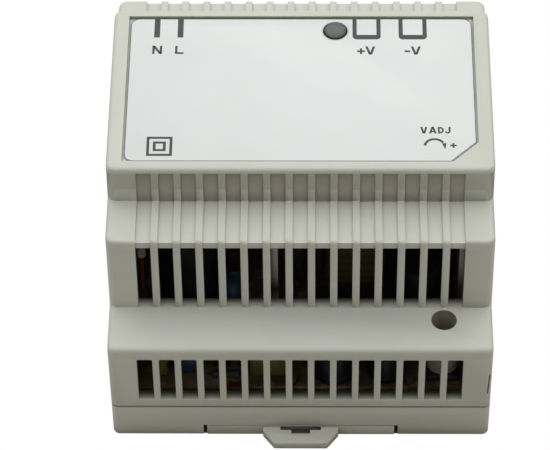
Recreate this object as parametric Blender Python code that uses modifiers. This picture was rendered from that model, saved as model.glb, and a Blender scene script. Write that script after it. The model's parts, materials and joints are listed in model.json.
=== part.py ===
"""DIN rail power supply in a stepped modular housing, built from separate pieces with real joints.

Every length below is in millimetres. MM turns it into Blender's metres where a mesh becomes an object.
Frame: the origin is the centre of the face that rests on the rail, +Z points out of the rail to the front
label, +Y to the terminals, -Y to the rail latch, and X runs across the width. Heights in this script are
measured from the back plane, and object_from lowers every piece to the frame's origin.
"""

import math

import bmesh
import bpy
from mathutils import Matrix, Vector

MM = 0.001
WELD = 0.0001
GAP = 0.3
RAIL_SEAT = Vector((0.0, 0.0, 4.7))

# Housing
WIDTH = 78.0
HEIGHT = 93.0
DEPTH = 56.0
WALL = 2.35
SIDE_WALL = 2.2
DRAFT = 0.063
NOSE_Y = 22.5
SHELF_1_Y = 34.06
SHELF_1_Z = 47.22
SHELF_2_Z = 28.24
SEAM_Z = 9.7
CORNER_RADIUS = 1.3
EDGE_RADIUS = 1.8
TOP_RADIUS = 0.75
SHELF_2_RADIUS = 1.0
TIER_OVERLAP = 6.0
NOSE_FOOT_Y = NOSE_Y + DRAFT * (DEPTH - SHELF_1_Z)
SHELF_FOOT_Y = SHELF_1_Y + DRAFT * (SHELF_1_Z - SHELF_2_Z)
END_Y = HEIGHT / 2
SIDE_X = WIDTH / 2

# Ventilation
SLOT_COUNT = 15
SLOT_PITCH = 4.5
SLOT_WIDTH = 3.05
UPPER_SLOT_TOP = 45.05
LOWER_SLOT_Z = (12.15, 25.16)
LOWER_SLOT_WIDTH = 3.2
LOWER_SLOT_SHIFT = -0.07
LOWER_SLOT_CORNER = 0.35
VALLEY_SHELF_DEPTH = 0.65
VALLEY_WALL_DEPTH = 0.45
VALLEY_TOP = 54.9

# Front
POCKET_X = 35.85
POCKET_Y = (-20.15, 20.5)
POCKET_CHAMFER = 5.2
POCKET_FLOOR = 55.1
LABEL_X = 35.5
LABEL_Y = (-19.85, 20.2)
LABEL_Z = (55.2, 55.6)
LABEL_CORNER = 1.9
INDICATOR_AT = (7.1, 16.65)
INDICATOR_HOLE = 2.6
LABEL_HOLE = 2.78
ADJUST_AT = (29.15, -38.5)
ADJUST_HOLE = 2.55
GUIDE_TUBE_RADIUS = 3.3
GUIDE_TUBE_END = 14.6

# Rail side
RAIL_HALF = 17.9
HOOK_Y = 15.9
FLANGE_Z = (3.3, 4.7)
SEAT_HALF = 15.3
RELIEF_Z = 5.0
RAIL_ROOF = 6.9
FLOOR_Z = 2.2
LATCH_HALF = 19.4
CHANNEL_HALF = 20.15
CHANNEL_ROOF = 3.45
LATCH_TOP = 3.15
LATCH_FOOT = 0.4
TAB_END = -50.65
TAB_Z = (0.95, 2.75)
TONGUE_REACH = 1.4
GROOVE_REACH = 1.5

# Circuit board
BOARD_X = 34.6
BOARD_Y = 43.5
BOARD_Z = (10.5, 12.1)
SEAT = BOARD_Z[1] + GAP
PEGS_AT = ((-33.0, 27.0), (33.0, 27.0), (-1.6, -41.2), (22.4, -41.2))
PEG_RADIUS = 1.0

# Snap hooks: the side wall and the place along it, half the window's length, and the window's heights
SNAP_AT = ((1, -40.8), (-1, -37.2), (1, 37.2), (-1, 40.8))
SNAP_HALF = 3.8
SNAP_Z = (10.2, 15.9)

# Terminals
TERMINAL_PITCH = 5.0
TERMINAL_Y = 39.3
INPUT_X = (-30.0, -25.0)
OUTPUT_X = (10.9, 15.9, 20.9, 25.9)
BLOCK_Y = (34.6, 43.8)
BLOCK_TOP = 25.5
BLOCK_END = 0.5
SCREW_SHANK = 1.3
SCREW_HEAD = 1.85
DRIVER_HOLE = 2.2
WIRE_WINDOW_MARGIN = 2.4
WIRE_WINDOW_Z = (13.4, 18.6)

# Components on the board: where each stands, X and Y
FUSE_AT = (-32.7, -24.0)
BULK_CAPACITOR_AT = (-22.4, -20.0)
VARISTOR_AT = (-22.5, -39.5)
Y_CAPACITOR_AT = (-13.8, -28.2)
THERMISTOR_AT = (-31.0, -2.0)
CHOKE_AT = (-23.5, 19.5)
BRIDGE_AT = (-14.8, 3.8)
CONTROL_IC_AT = (-16.3, -34.0)
OPTOCOUPLER_AT = (5.5, 3.5)
TRANSFORMER_AT = (11.3, -13.5)
OUTPUT_CAPACITORS_AT = ((24.6, -26.0), (26.4, -14.0))
FILTER_CAPACITOR_AT = (7.0, -38.2)
SUPPLY_CAPACITOR_AT = (17.6, -38.8)
INDUCTOR_AT = (19.5, 5.5)
PRIMARY_HEATSINK_X = (-6.2, -4.4)
SECONDARY_HEATSINK_X = (32.0, 33.6)
HEATSINK_Z = (12.6, 44.2)

PARTS = bpy.data.collections.new("din_rail_power_supply")
CUTTERS = bpy.data.collections.new("cutters")

# Where an outline's two directions and its thickness go for each axis it can be extruded along
AXIS_TURN = {
    "X": Matrix(((0, 0, 1, 0), (1, 0, 0, 0), (0, 1, 0, 0), (0, 0, 0, 1))),
    "Y": Matrix(((1, 0, 0, 0), (0, 0, 1, 0), (0, 1, 0, 0), (0, 0, 0, 1))),
    "Z": Matrix.Identity(4),
}


def start_scene():
    """Empty scene with one collection for the pieces and one for the cutters."""
    for obj in list(bpy.data.objects):
        bpy.data.objects.remove(obj, do_unlink=True)
    bpy.context.scene.collection.children.link(PARTS)
    bpy.context.scene.collection.children.link(CUTTERS)


def material(name, colour, roughness, metallic=0.0):
    """Plain Principled material."""
    mat = bpy.data.materials.new(name)
    mat.use_nodes = True
    surface = mat.node_tree.nodes["Principled BSDF"]
    surface.inputs["Base Color"].default_value = (*colour, 1.0)
    surface.inputs["Roughness"].default_value = roughness
    surface.inputs["Metallic"].default_value = metallic
    return mat


# Shapes, each a bmesh in millimetres


def box(low, high):
    """Closed box between two corners."""
    bm = bmesh.new()
    size = [b - a for a, b in zip(low, high)]
    centre = [(a + b) / 2 for a, b in zip(low, high)]
    place = Matrix.Translation(centre) @ Matrix.Diagonal((*size, 1.0))
    bmesh.ops.create_cube(bm, size=1.0, matrix=place)
    return bm


def round_edges(bm, radius, segments, chosen):
    """Round the edges that the test picks."""
    edges = [edge for edge in bm.edges if chosen(edge)]
    bmesh.ops.bevel(bm, geom=edges, offset=radius, segments=segments, profile=0.5, affect="EDGES")
    return bm


def soft_box(low, high, radius=0.5, segments=1):
    """Closed box with all its edges rounded."""
    return round_edges(box(low, high), radius, segments, lambda edge: True)


def cylinder(centre, radius, length, axis="Z", segments=24):
    """Closed cylinder about a centre point."""
    bm = bmesh.new()
    place = Matrix.Translation(centre) @ AXIS_TURN[axis]
    bmesh.ops.create_cone(
        bm, cap_ends=True, segments=segments, radius1=radius, radius2=radius, depth=length, matrix=place
    )
    bmesh.ops.recalc_face_normals(bm, faces=bm.faces)
    return bm


def post(at, radius, low, high, segments=24):
    """Closed upright cylinder between two heights."""
    return cylinder((*at, (low + high) / 2), radius, high - low, "Z", segments)


def prism(outline, low, high, axis="Z"):
    """Flat outline filled and extruded from low to high along an axis."""
    curve = bpy.data.curves.new("outline", "CURVE")
    curve.dimensions = "2D"
    curve.fill_mode = "BOTH"
    curve.extrude = (high - low) / 2
    spline = curve.splines.new("POLY")
    spline.points.add(len(outline) - 1)
    for point, (across, up) in zip(spline.points, outline):
        point.co = (across, up, 0.0, 1.0)
    spline.use_cyclic_u = True
    holder = bpy.data.objects.new("outline", curve)
    CUTTERS.objects.link(holder)
    evaluated = holder.evaluated_get(bpy.context.evaluated_depsgraph_get())
    mesh = bpy.data.meshes.new_from_object(evaluated)
    bm = bmesh.new()
    bm.from_mesh(mesh)
    bpy.data.meshes.remove(mesh)
    bpy.data.objects.remove(holder, do_unlink=True)
    bmesh.ops.remove_doubles(bm, verts=bm.verts, dist=WELD)
    place = AXIS_TURN[axis] @ Matrix.Translation((0.0, 0.0, (low + high) / 2))
    bmesh.ops.transform(bm, matrix=place, verts=bm.verts)
    bmesh.ops.recalc_face_normals(bm, faces=bm.faces)
    return bm


def rounded(corners, steps=4):
    """Outline whose (x, y, radius) corners become arcs. A radius of 0 keeps the corner sharp."""
    outline = []
    count = len(corners)
    for i, (x, y, radius) in enumerate(corners):
        corner = Vector((x, y))
        if radius == 0:
            outline.append(corner)
            continue
        back = (Vector(corners[i - 1][:2]) - corner).normalized()
        ahead = (Vector(corners[(i + 1) % count][:2]) - corner).normalized()
        half = back.angle(ahead) / 2
        centre = corner + (back + ahead).normalized() * radius / math.sin(half)
        first = corner + back * radius / math.tan(half) - centre
        last = corner + ahead * radius / math.tan(half) - centre
        for step in range(steps + 1):
            outline.append(centre + first.normalized().slerp(last.normalized(), step / steps) * radius)
    return outline


def together(*shapes):
    """One bmesh that holds several separate shapes."""
    whole = bmesh.new()
    for shape in shapes:
        mesh = bpy.data.meshes.new("shape")
        shape.to_mesh(mesh)
        shape.free()
        whole.from_mesh(mesh)
        bpy.data.meshes.remove(mesh)
    return whole


# Objects


def object_from(name, bm, collection, pivot=(0.0, 0.0, 0.0)):
    """Object in metres from a bmesh in millimetres, with its own origin at the pivot."""
    place = Matrix.Scale(MM, 4) @ Matrix.Translation(-Vector(pivot))
    bmesh.ops.transform(bm, matrix=place, verts=bm.verts)
    mesh = bpy.data.meshes.new(name)
    bm.to_mesh(mesh)
    bm.free()
    obj = bpy.data.objects.new(name, mesh)
    obj.location = (Vector(pivot) - RAIL_SEAT) * MM
    collection.objects.link(obj)
    return obj


def piece(name, bm, mat, pivot=(0.0, 0.0, 0.0)):
    """Named sub-part with its material."""
    obj = object_from(name, bm, PARTS, pivot)
    obj.data.materials.append(mat)
    obj.data.shade_smooth()
    obj.data.set_sharp_from_angle(angle=math.radians(35))
    return obj


def boolean(obj, operation, bm):
    """Cut a shape out of a piece (DIFFERENCE) or join it on (UNION)."""
    tool = object_from(f"{obj.name}_{operation.lower()}", bm, CUTTERS)
    tool.hide_render = True
    tool.display_type = "WIRE"
    modifier = obj.modifiers.new(tool.name, "BOOLEAN")
    modifier.operation = operation
    modifier.solver = "EXACT"
    modifier.object = tool


def cut(obj, bm):
    boolean(obj, "DIFFERENCE", bm)


def join(obj, bm):
    boolean(obj, "UNION", bm)


def turned(name, profile, at, mat, steps=24):
    """Round piece about an upright axis, from (radius, z) points that run from its top to its bottom."""
    bm = bmesh.new()
    corners = [bm.verts.new((radius, 0.0, z)) for radius, z in profile]
    for upper, lower in zip(corners, corners[1:]):
        bm.edges.new((upper, lower))
    bmesh.ops.translate(bm, verts=bm.verts, vec=(*at, 0.0))
    obj = piece(name, bm, mat, pivot=(*at, 0.0))
    screw = obj.modifiers.new("turn", "SCREW")
    screw.axis = "Z"
    screw.steps = steps
    screw.render_steps = steps
    screw.use_merge_vertices = True
    screw.merge_threshold = 0.00001
    screw.use_smooth_shade = True
    return obj


# Housing


def wall_1_y(z):
    return NOSE_Y + DRAFT * (DEPTH - z)


def wall_2_y(z):
    return SHELF_1_Y + DRAFT * (SHELF_1_Z - z)


def tier(top_y, low, high, corner, top_radius):
    """One step of the housing: a drafted box with rounded upright corners and a rounded top edge."""
    bm = box((-SIDE_X, -top_y, low), (SIDE_X, top_y, high))
    for vert in bm.verts:
        if vert.co.z < high - GAP and top_y < END_Y:
            vert.co.y *= 1.0 + DRAFT * (high - low) / top_y
    round_edges(bm, corner, 5, lambda edge: abs(edge.verts[0].co.z - edge.verts[1].co.z) > GAP)
    round_edges(bm, top_radius, 3, lambda edge: all(vert.co.z > high - WELD for vert in edge.verts))
    return bm


def slot_centres():
    first = -SLOT_PITCH * (SLOT_COUNT - 1) / 2
    return [first + SLOT_PITCH * i for i in range(SLOT_COUNT)]


def cavity():
    """Room inside the cover: the stepped outline set in by the wall."""
    half = [
        (NOSE_Y - WALL, DEPTH - WALL),
        (NOSE_FOOT_Y - WALL, SHELF_1_Z - WALL),
        (SHELF_1_Y - WALL, SHELF_1_Z - WALL),
        (SHELF_FOOT_Y - WALL, SHELF_2_Z - WALL),
        (END_Y - WALL, SHELF_2_Z - WALL),
        (END_Y - WALL, SEAM_Z - TIER_OVERLAP),
    ]
    outline = half + [(-y, z) for y, z in reversed(half)]
    inside = SIDE_X - SIDE_WALL
    return prism(outline, -inside, inside, "X")


def valleys():
    """Grooves between the ribs, down wall 1, across shelf 1 and onto wall 2, at both ends."""
    beyond = END_Y + WALL
    low = UPPER_SLOT_TOP - WALL / 2
    half = [
        (wall_1_y(VALLEY_TOP) - VALLEY_WALL_DEPTH, VALLEY_TOP),
        (NOSE_FOOT_Y - VALLEY_WALL_DEPTH, SHELF_1_Z - VALLEY_SHELF_DEPTH),
        (SHELF_1_Y - VALLEY_WALL_DEPTH, SHELF_1_Z - VALLEY_SHELF_DEPTH),
        (wall_2_y(low) - VALLEY_WALL_DEPTH, low),
        (beyond, low),
        (beyond, VALLEY_TOP),
    ]
    shapes = []
    for x in slot_centres():
        for side in (-1, 1):
            outline = [(side * y, z) for y, z in half]
            shapes.append(prism(outline, x - SLOT_WIDTH / 2, x + SLOT_WIDTH / 2, "X"))
    return together(*shapes)


def slots():
    """Ventilation slots: a row in wall 2 at both ends and a row in wall 3 at the latch end."""
    shapes = []
    half = SLOT_WIDTH / 2
    inner = SHELF_1_Y - 2 * WALL
    outer = SHELF_FOOT_Y + WALL
    for x in slot_centres():
        for side in (-1, 1):
            ends = sorted((side * inner, side * outer))
            shapes.append(box((x - half, ends[0], SHELF_2_Z), (x + half, ends[1], UPPER_SLOT_TOP)))
        shapes.append(prism(lower_slot(x + LOWER_SLOT_SHIFT), -END_Y - WALL, -END_Y + 2 * WALL, "Y"))
    return together(*shapes)


def lower_slot(x):
    """Outline of one slot in wall 3, with its two upper corners rounded."""
    low, high = LOWER_SLOT_Z
    half = LOWER_SLOT_WIDTH / 2
    corners = [
        (x - half, low, 0),
        (x + half, low, 0),
        (x + half, high, LOWER_SLOT_CORNER),
        (x - half, high, LOWER_SLOT_CORNER),
    ]
    return rounded(corners, 2)


def front_openings():
    """Label pocket with one cut corner."""
    low, high = POCKET_Y
    outline = [
        (-POCKET_X, low),
        (POCKET_X - POCKET_CHAMFER, low),
        (POCKET_X, low + POCKET_CHAMFER),
        (POCKET_X, high),
        (-POCKET_X, high),
    ]
    return prism(outline, POCKET_FLOOR, DEPTH + WALL)


def terminal_openings():
    """Screwdriver holes in the far shelf, one for each pole, and a wire window for each terminal block."""
    shapes = [
        post((x, TERMINAL_Y), DRIVER_HOLE, SHELF_2_Z - 2 * WALL, SHELF_2_Z + WALL, 20)
        for x in INPUT_X + OUTPUT_X
    ]
    low, high = WIRE_WINDOW_Z
    for poles in (INPUT_X, OUTPUT_X):
        left = poles[0] - WIRE_WINDOW_MARGIN
        right = poles[-1] + WIRE_WINDOW_MARGIN
        shapes.append(box((left, END_Y - 2 * WALL, low), (right, END_Y + WALL, high)))
    return together(*shapes)


def snap_windows():
    """Openings low in the side walls, where the base's hooks catch."""
    shapes = []
    for side, y in SNAP_AT:
        ends = sorted((side * (SIDE_X - 2 * SIDE_WALL), side * (SIDE_X + SIDE_WALL)))
        shapes.append(box((ends[0], y - SNAP_HALF, SNAP_Z[0]), (ends[1], y + SNAP_HALF, SNAP_Z[1])))
    return together(*shapes)


def corner_groove():
    """Short leaning groove at the latch end's right corner, beside the snap window."""
    outline = [(38.08, 13.9), (38.36, 13.9), (38.66, 20.1), (38.38, 20.1)]
    return prism(outline, -END_Y - WALL, -END_Y + 1.1, "Y")


def front_cover(mat):
    """Upper shell: three stepped tiers, hollowed from below, with ribs, slots and the front openings."""
    cover = piece(
        "front_cover", tier(END_Y, SEAM_Z + GAP / 2, SHELF_2_Z, CORNER_RADIUS, SHELF_2_RADIUS), mat
    )
    join(cover, tier(SHELF_1_Y, SHELF_2_Z - TIER_OVERLAP, SHELF_1_Z, EDGE_RADIUS, TOP_RADIUS))
    join(cover, tier(NOSE_Y, SHELF_1_Z - TIER_OVERLAP, DEPTH, EDGE_RADIUS, TOP_RADIUS))
    cut(cover, cavity())
    cut(cover, valleys())
    cut(cover, slots())
    cut(cover, together(front_openings(), terminal_openings(), snap_windows(), corner_groove()))
    join(cover, post(ADJUST_AT, GUIDE_TUBE_RADIUS, GUIDE_TUBE_END, SHELF_2_Z - WALL / 2))
    cut(
        cover,
        together(
            post(ADJUST_AT, ADJUST_HOLE, GUIDE_TUBE_END - WALL, SHELF_2_Z + WALL),
            post(INDICATOR_AT, INDICATOR_HOLE, DEPTH - 2 * WALL, DEPTH + WALL),
        ),
    )


def snap_hook(side, y):
    """Hook that rises beside the cover's wall, with a ramped nub in its window."""
    wall = SIDE_X - SIDE_WALL
    face = wall - GAP
    nub = SIDE_X - 0.8
    outline = [
        (face - 1.5, FLOOR_Z - 0.5),
        (wall + 0.5, FLOOR_Z - 0.5),
        (wall + 0.5, SEAM_Z - 2 * GAP),
        (face, SEAM_Z - 2 * GAP),
        (face, SNAP_Z[0] + GAP),
        (nub, SNAP_Z[0] + GAP),
        (nub, SNAP_Z[0] + 2.2),
        (face, SNAP_Z[1] - GAP),
        (face - 1.5, SNAP_Z[1] - GAP),
    ]
    outline = [(side * x, z) for x, z in outline]
    return prism(outline, y - 2.5, y + 2.5, "Y")


def base_hollows():
    """Room under the board: shallow over the rail and the latch, deep elsewhere."""
    side = SIDE_X - SIDE_WALL
    end = END_Y - WALL
    rail = RAIL_HALF + 2.5
    latch = CHANNEL_HALF + WALL
    top = SEAM_Z + WALL
    roof = RAIL_ROOF + GAP
    return (
        box((-side, -end, RAIL_ROOF), (side, end, top)),
        box((-side, rail, FLOOR_Z), (side, end, roof)),
        together(
            box((latch, -end, FLOOR_Z), (side, -rail, roof)),
            box((-side, -end, FLOOR_Z), (-latch, -rail, roof)),
        ),
        box((-latch - GAP, -end, 5.6), (latch + GAP, -rail, roof)),
    )


def rail_channel():
    """Room for the rail: a flat seat between two relief grooves, and a hook lip at the terminal end."""
    outline = [
        (-RAIL_HALF, -WALL),
        (HOOK_Y + 1.0, -WALL),
        (HOOK_Y + 1.0, 0.0),
        (HOOK_Y, 1.0),
        (HOOK_Y, FLANGE_Z[0]),
        (RAIL_HALF, FLANGE_Z[0]),
        (RAIL_HALF, RELIEF_Z),
        (SEAT_HALF, RELIEF_Z),
        (SEAT_HALF, FLANGE_Z[1]),
        (-SEAT_HALF, FLANGE_Z[1]),
        (-SEAT_HALF, RELIEF_Z),
        (-RAIL_HALF, RELIEF_Z),
    ]
    return prism(outline, -SIDE_X - WALL, SIDE_X + WALL, "X")


def latch_channel():
    """Room for the latch: an open channel, with side grooves for its tongues and one above for its nib."""
    outer = -END_Y - WALL
    inner = -RAIL_HALF + 1.0
    groove = CHANNEL_HALF + GROOVE_REACH
    return (
        box((-CHANNEL_HALF, outer, -WALL), (CHANNEL_HALF, inner, CHANNEL_ROOF)),
        box((-groove, -44.2, 1.0), (groove, inner, 2.6)),
        box((-3.4, -35.3, CHANNEL_ROOF - GAP), (3.4, -29.2, 4.15)),
    )


def base_housing(mat):
    """Lower shell with the rail channel, the latch channel, the snap hooks and the board's posts."""
    shell = box((-SIDE_X, -END_Y, 0.0), (SIDE_X, END_Y, SEAM_Z - GAP / 2))
    round_edges(shell, CORNER_RADIUS, 5, lambda edge: abs(edge.verts[0].co.z - edge.verts[1].co.z) > GAP)
    round_edges(shell, 0.7, 2, lambda edge: all(vert.co.z < WELD for vert in edge.verts))
    base = piece("base_housing", shell, mat)
    for hollow in base_hollows():
        cut(base, hollow)
    cut(base, rail_channel())
    for channel in latch_channel():
        cut(base, channel)
    join(base, together(*[snap_hook(side, y) for side, y in SNAP_AT]))
    floors = (FLOOR_Z - 0.5, FLOOR_Z - 0.5, 5.0, 5.0)
    posts = [post(at, 2.2, floor, BOARD_Z[0] - GAP, 16) for at, floor in zip(PEGS_AT, floors)]
    join(base, together(*posts))
    join(base, together(*[post(at, PEG_RADIUS, 9.0, 13.2, 12) for at in PEGS_AT]))


def front_label(mat):
    """Thin plate in the pocket, with rounded corners, one cut corner and a hole for the indicator."""
    low, high = LABEL_Y
    corners = [
        (-LABEL_X, low, LABEL_CORNER),
        (LABEL_X - POCKET_CHAMFER, low, 0.5),
        (LABEL_X, low + POCKET_CHAMFER, 0.5),
        (LABEL_X, high, LABEL_CORNER),
        (-LABEL_X, high, LABEL_CORNER),
    ]
    label = piece("front_label", prism(rounded(corners), *LABEL_Z), mat)
    cut(label, post(INDICATOR_AT, LABEL_HOLE, LABEL_Z[0] - 1.0, LABEL_Z[1] + 1.0))


# Latch


def tab_outline():
    """Tab that stands out of the housing: straight, then tapering to its end."""
    corners = [
        (-7.8, -45.5, 0),
        (-7.8, -47.5, 0),
        (-5.45, TAB_END, 0.6),
        (5.45, TAB_END, 0.6),
        (7.8, -47.5, 0),
        (7.8, -45.5, 0),
    ]
    return rounded(corners, 3)


def rail_latch(mat):
    """Sliding foot: plate with side tongues, a sprung nib between slits, a nose and a tab with a slot."""
    nose = -HOOK_Y + 0.4
    corners = [
        (-LATCH_HALF, -END_Y, 0),
        (LATCH_HALF, -END_Y, 0),
        (LATCH_HALF, nose, 0.8),
        (-LATCH_HALF, nose, 0.8),
    ]
    latch = piece("rail_latch", prism(rounded(corners, 3), LATCH_FOOT, LATCH_TOP), mat)
    join(latch, prism(tab_outline(), *TAB_Z))
    reach = LATCH_HALF + TONGUE_REACH
    tongues = [
        box((LATCH_HALF - 1.0, -39.9, 1.3), (reach, -22.0, 2.3)),
        box((-reach, -39.9, 1.3), (-LATCH_HALF + 1.0, -22.0, 2.3)),
    ]
    foot = LATCH_TOP - 0.4
    nib = [(-31.0, foot), (-30.4, 3.85), (-29.8, 3.85), (-29.5, foot)]
    join(latch, together(*tongues, prism(nib, -2.8, 2.8, "X")))
    slits = [
        box((3.6, -38.0, -1.0), (4.4, -27.9, 4.0)),
        box((-4.4, -38.0, -1.0), (-3.6, -27.9, 4.0)),
    ]
    cut(latch, together(*slits, box((-1.95, -48.3, 1.55), (1.95, -44.6, TAB_Z[1] + GAP))))
    cut(latch, box((-4.41, -28.7, -1.0), (4.41, -27.9, 4.0)))
    cut(latch, box((-4.2, -47.2, -1.0), (4.2, -45.3, TAB_Z[1] + GAP / 2)))


# Circuit board and small builders for its components


def main_pcb(mat):
    board = piece(
        "main_pcb", box((-BOARD_X, -BOARD_Y, BOARD_Z[0]), (BOARD_X, BOARD_Y, BOARD_Z[1])), mat
    )
    cut(board, together(*[post(at, PEG_RADIUS + GAP, 9.0, 14.0, 12) for at in PEGS_AT]))


def can_capacitor(name, at, radius, height, mat):
    """Upright electrolytic capacitor: a sleeved can with a crimp near its foot and a recessed top."""
    top = SEAT + height
    rim = radius * 0.8
    profile = [
        (0.0, top - 0.3),
        (rim, top - 0.3),
        (rim + 0.25, top),
        (radius - 0.4, top),
        (radius, top - 0.5),
        (radius, SEAT + 2.6),
        (radius - 0.45, SEAT + 2.1),
        (radius, SEAT + 1.6),
        (radius, SEAT + 0.4),
        (radius - 0.4, SEAT),
        (0.0, SEAT),
    ]
    turned(name, profile, at, mat, 20)


def disc(name, at, height, radius, thickness, mat, axis="Y"):
    """Dipped disc component standing on two leads."""
    bm = cylinder((*at, height), radius, thickness, axis, 20)
    across = {"X": 0, "Y": 1}[axis]
    round_edges(
        bm,
        thickness * 0.3,
        2,
        lambda edge: abs(edge.verts[0].co[across] - edge.verts[1].co[across]) < WELD,
    )
    obj = piece(name, bm, mat)
    leads = []
    for side in (-1, 1):
        reach = side * radius * 0.4
        foot = (at[0], at[1] + reach) if axis == "X" else (at[0] + reach, at[1])
        leads.append(post(foot, 0.35, SEAT, height - radius * 0.3, 8))
    join(obj, together(*leads))


def box_capacitor(name, low, high, mat):
    """Moulded box capacitor that stands on two small feet."""
    obj = piece(name, soft_box((low[0], low[1], SEAT + 0.5), high, 0.6, 2), mat)
    inner = 0.8
    feet = [
        box((low[0] + inner, y - 0.6, SEAT), (high[0] - inner, y + 0.6, SEAT + 1.0))
        for y in (low[1] + 2.0, high[1] - 2.0)
    ]
    join(obj, together(*feet))


def chip(name, at, pins, mat):
    """Dual in-line package: a body with a row of bent leads on each side."""
    half_x = pins * 2.54 / 4 - 0.1
    x, y = at
    body = soft_box((x - half_x, y - 3.2, SEAT + 0.6), (x + half_x, y + 3.2, SEAT + 4.0), 0.3)
    obj = piece(name, body, mat)
    legs = []
    for i in range(pins // 2):
        middle = x + (i - (pins / 2 - 1) / 2) * 2.54
        for side in (-1, 1):
            outline = [
                (y + side * 2.8, SEAT + 1.9),
                (y + side * 4.0, SEAT + 1.9),
                (y + side * 4.0, SEAT),
                (y + side * 3.7, SEAT),
                (y + side * 3.7, SEAT + 1.6),
                (y + side * 2.8, SEAT + 1.6),
            ]
            legs.append(prism(outline, middle - 0.4, middle + 0.4, "X"))
    join(obj, together(*legs))


def flat_pack(name, mat, plane, side, y, low):
    """Three-legged power package with its tab flat against a heat sink that stands across X."""
    near = plane + side * GAP
    far = near + side * 4.4
    tab = near + side * 1.3
    outline = [
        (near, low),
        (far, low),
        (far, low + 8.4),
        (far - side * 0.6, low + 9.2),
        (tab, low + 9.2),
        (tab, low + 15.5),
        (near, low + 15.5),
    ]
    obj = piece(name, prism(outline, y - 5.0, y + 5.0, "Y"), mat)
    middle = near + side * 2.6
    legs = [
        box((middle - 0.25, y + i * 2.54 - 0.45, SEAT), (middle + 0.25, y + i * 2.54 + 0.45, low + 1.0))
        for i in (-1, 0, 1)
    ]
    join(obj, together(*legs))
    cut(obj, cylinder((near, y, low + 12.5), 1.8, 8.0, "X", 16))


def plate_screw(name, mat, plane, side, y, z):
    """Pan-head screw through a package's tab and the heat sink behind it."""
    under_head = plane + side * 1.8
    tip = plane - side * 3.4
    head = cylinder((under_head + side * 1.0, y, z), 2.8, 2.0, "X", 20)
    screw = piece(name, head, mat)
    reach = under_head + side * 0.5
    join(screw, cylinder(((reach + tip) / 2, y, z), 1.4, abs(reach - tip), "X", 16))
    slot = sorted((under_head + side * 1.2, under_head + side * 2.5))
    cut(screw, box((slot[0], y - 0.4, z - 1.7), (slot[1], y + 0.4, z + 1.7)))


def heatsink(name, mat, across, ends, hole):
    """Upright aluminium plate with a screw hole and two feet in the board."""
    left, right = across
    low, high = HEATSINK_Z
    plate = piece(name, soft_box((left, ends[0], low + 1.4), (right, ends[1], high), 0.2), mat)
    feet = [
        box((left, y - 1.0, SEAT), (right, y + 1.0, low + 2.0))
        for y in (ends[0] + 4.0, ends[1] - 4.0)
    ]
    join(plate, together(*feet))
    cut(plate, cylinder(((left + right) / 2, *hole), 1.7, 6.0, "X", 16))


def ring_core(name, at, outer, inner, low, high, mat):
    """Ferrite ring lying flat."""
    profile = [
        (inner, high),
        (outer - 0.5, high),
        (outer, high - 0.5),
        (outer, low + 0.5),
        (outer - 0.5, low),
        (inner, low),
        (inner, high),
    ]
    turned(name, profile, at, mat, 28)


def ring_winding(name, at, outer, inner, low, high, turns, spread, wire, mat):
    """Wire wound round a flat ring, over part of its circle, with both ends led down to the board."""
    gap = wire + 0.25
    outside, inside = outer + gap, inner - gap
    below, above = low - gap, high + gap
    route = [(outside, below), (outside, above), (inside, above), (inside, below)]
    points = [(outside, -spread / 2, SEAT)]
    for turn in range(turns):
        for quarter, (radius, z) in enumerate(route):
            angle = spread * ((turn + quarter / 4) / turns - 0.5)
            points.append((radius, angle, z))
    points.append((outside, spread / 2, below))
    points.append((outside, spread / 2, SEAT))
    curve = bpy.data.curves.new(name, "CURVE")
    curve.dimensions = "3D"
    curve.bevel_depth = wire
    curve.bevel_resolution = 1
    curve.use_fill_caps = True
    spline = curve.splines.new("POLY")
    spline.points.add(len(points) - 1)
    for point, (radius, angle, z) in zip(spline.points, points):
        x = at[0] + radius * math.cos(angle)
        y = at[1] + radius * math.sin(angle)
        point.co = (x, y, z, 1.0)
    holder = bpy.data.objects.new(name, curve)
    CUTTERS.objects.link(holder)
    evaluated = holder.evaluated_get(bpy.context.evaluated_depsgraph_get())
    mesh = bpy.data.meshes.new_from_object(evaluated)
    bm = bmesh.new()
    bm.from_mesh(mesh)
    bpy.data.meshes.remove(mesh)
    bpy.data.objects.remove(holder, do_unlink=True)
    bmesh.ops.remove_doubles(bm, verts=bm.verts, dist=WELD)
    bmesh.ops.recalc_face_normals(bm, faces=bm.faces)
    piece(name, bm, mat)


# Terminals


def terminal_block(name, poles, mat):
    """Moulded block with one cell for each pole, open above for the screw and outwards for the wire."""
    half = TERMINAL_PITCH / 2
    low = (poles[0] - half - BLOCK_END, BLOCK_Y[0], SEAT)
    high = (poles[-1] + half + BLOCK_END, BLOCK_Y[1], BLOCK_TOP)
    block = piece(name, soft_box(low, high, 0.4), mat)
    cells = []
    openings = []
    for x in poles:
        cells.append(box((x - 2.05, 36.0, 13.4), (x + 2.05, 43.2, 22.9)))
        openings.append(post((x, TERMINAL_Y), 2.05, 23.6, BLOCK_TOP + 1.0, 20))
        openings.append(box((x - 1.7, 43.0, 13.8), (x + 1.7, BLOCK_Y[1] + 1.0, 18.2)))
        openings.append(box((x - 1.3, 35.9, SEAT - 1.0), (x + 1.3, 37.0, 13.6)))
    cut(block, together(*cells))
    cut(block, together(*openings))
    cut(block, together(*[post((x, TERMINAL_Y), 1.55, 22.5, 24.0, 16) for x in poles]))


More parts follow.
